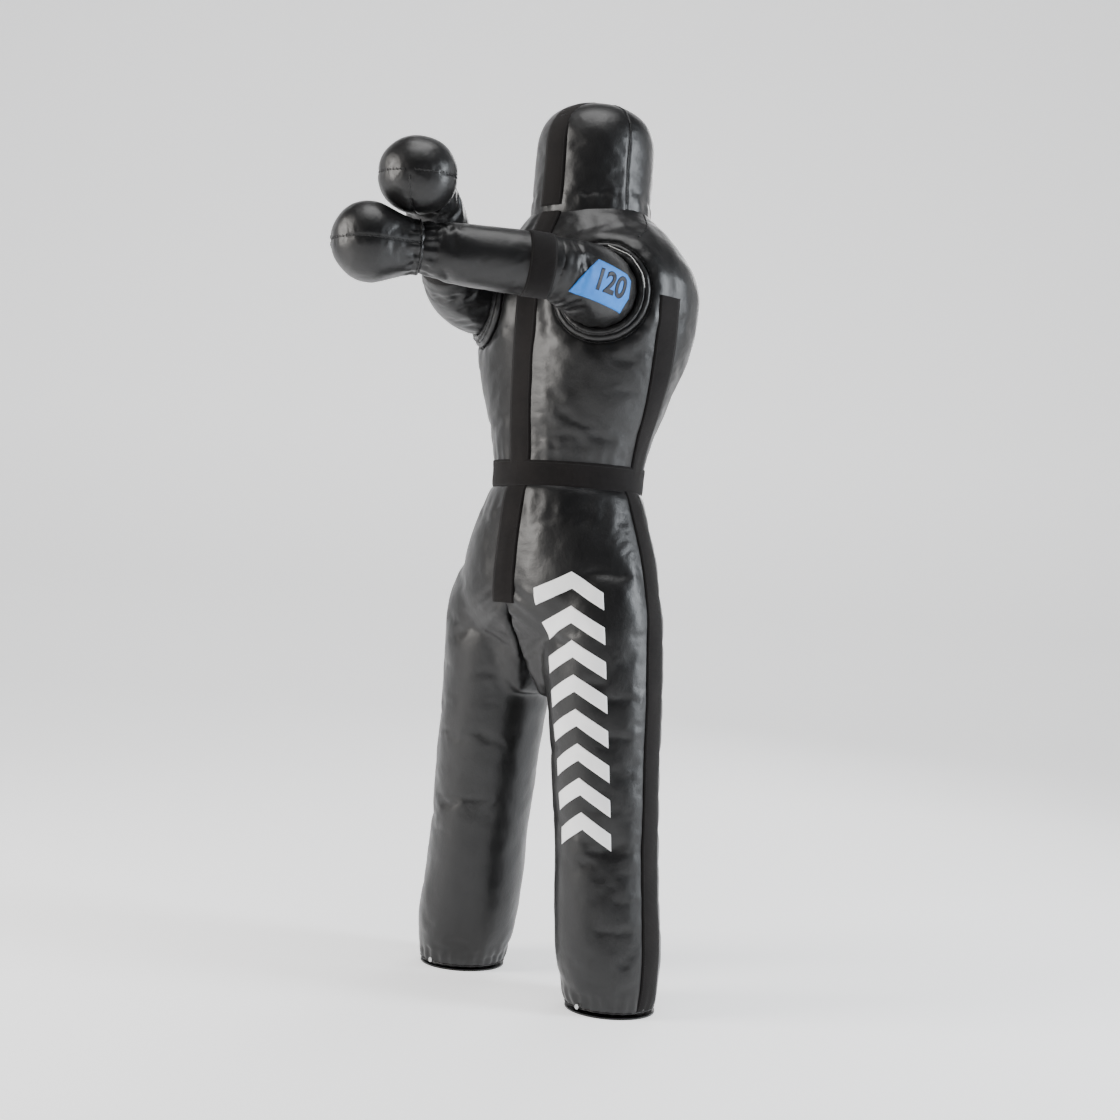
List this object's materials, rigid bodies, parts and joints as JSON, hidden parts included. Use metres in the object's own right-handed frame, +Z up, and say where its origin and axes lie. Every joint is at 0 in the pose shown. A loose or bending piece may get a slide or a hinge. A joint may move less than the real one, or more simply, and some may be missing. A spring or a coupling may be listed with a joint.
{
  "type": "grappling dummy",
  "caption": "Upright stuffed vinyl grappling dummy with crossed forward arms, straight legs and sewn webbing straps.",
  "frame": {"origin": "on the floor, at the centre of the bounding box, a little in front of the feet", "axes": "+Z up; the dummy faces -Y; +X is the dummy's own left"},
  "size_m": [0.5506, 0.754, 1.6518],
  "materials": {
    "vinyl": "satin",
    "webbing": "matte",
    "label": "matte",
    "thread": "matte",
    "metal": "satin"
  },
  "bodies": {
    "torso": {"torso": "vinyl", "torso_front_strap": "webbing", "torso_back_strap": "webbing", "left_flank_strap": "webbing", "right_flank_strap": "webbing", "waist_belt": "webbing", "left_armhole_welt": "vinyl", "right_armhole_welt": "vinyl", "left_sleeve_collar": "vinyl", "right_sleeve_collar": "vinyl", "loose_thread": "thread"},
    "head": {"head": "vinyl", "head_strap": "webbing"},
    "hips": {"pelvis": "vinyl", "pelvis_front_strap": "webbing", "pelvis_back_strap": "webbing", "left_hip_strap": "webbing", "right_hip_strap": "webbing"},
    "left_leg": {"left_leg": "vinyl", "left_leg_strap": "webbing", "left_sole": "vinyl", "left_sole_tack": "metal"},
    "left_upper_arm": {"left_upper_arm": "vinyl", "weight_label": "label"},
    "left_forearm": {"left_forearm": "vinyl", "left_elbow_band": "webbing", "left_wrist_welt": "vinyl", "left_hand": "vinyl"},
    "right_leg": {"right_leg": "vinyl", "right_leg_strap": "webbing", "right_sole": "vinyl", "right_sole_tack": "metal"},
    "right_upper_arm": {"right_upper_arm": "vinyl"},
    "right_forearm": {"right_forearm": "vinyl", "right_elbow_band": "webbing", "right_wrist_welt": "vinyl", "right_hand": "vinyl"}
  },
  "joints": [
    {"name": "neck_nod", "type": "hinge", "parent": "torso", "child": "head", "pos_m": [0, 0.2125, 1.46], "axis": [-1, 0, 0], "range_deg": [-20, 20]},
    {"name": "waist_bend", "type": "hinge", "parent": "torso", "child": "hips", "pos_m": [0, 0.1955, 0.89], "axis": [1, 0, 0], "range_deg": [-20, 10]},
    {"name": "left_hip", "type": "hinge", "parent": "hips", "child": "left_leg", "pos_m": [0.122, 0.1845, 0.712], "axis": [1, 0, 0], "range_deg": [-60, 10]},
    {"name": "right_hip", "type": "hinge", "parent": "hips", "child": "right_leg", "pos_m": [-0.122, 0.1845, 0.712], "axis": [1, 0, 0], "range_deg": [-60, 10]},
    {"name": "left_shoulder", "type": "hinge", "parent": "torso", "child": "left_upper_arm", "pos_m": [0.156, 0.0505, 1.276], "axis": [1, 0, 0], "range_deg": [0, 60]},
    {"name": "right_shoulder", "type": "hinge", "parent": "torso", "child": "right_upper_arm", "pos_m": [-0.154, 0.0505, 1.282], "axis": [-1, 0, 0], "range_deg": [0, 16]},
    {"name": "left_elbow", "type": "hinge", "parent": "left_upper_arm", "child": "left_forearm", "pos_m": [0.162, -0.0455, 1.289], "axis": [0, 0, 1], "range_deg": [0, 40]},
    {"name": "right_elbow", "type": "hinge", "parent": "right_upper_arm", "child": "right_forearm", "pos_m": [-0.115, -0.0315, 1.317], "axis": [-0.5819, -0.402, -0.7069], "range_deg": [0, 40]}
  ]
}
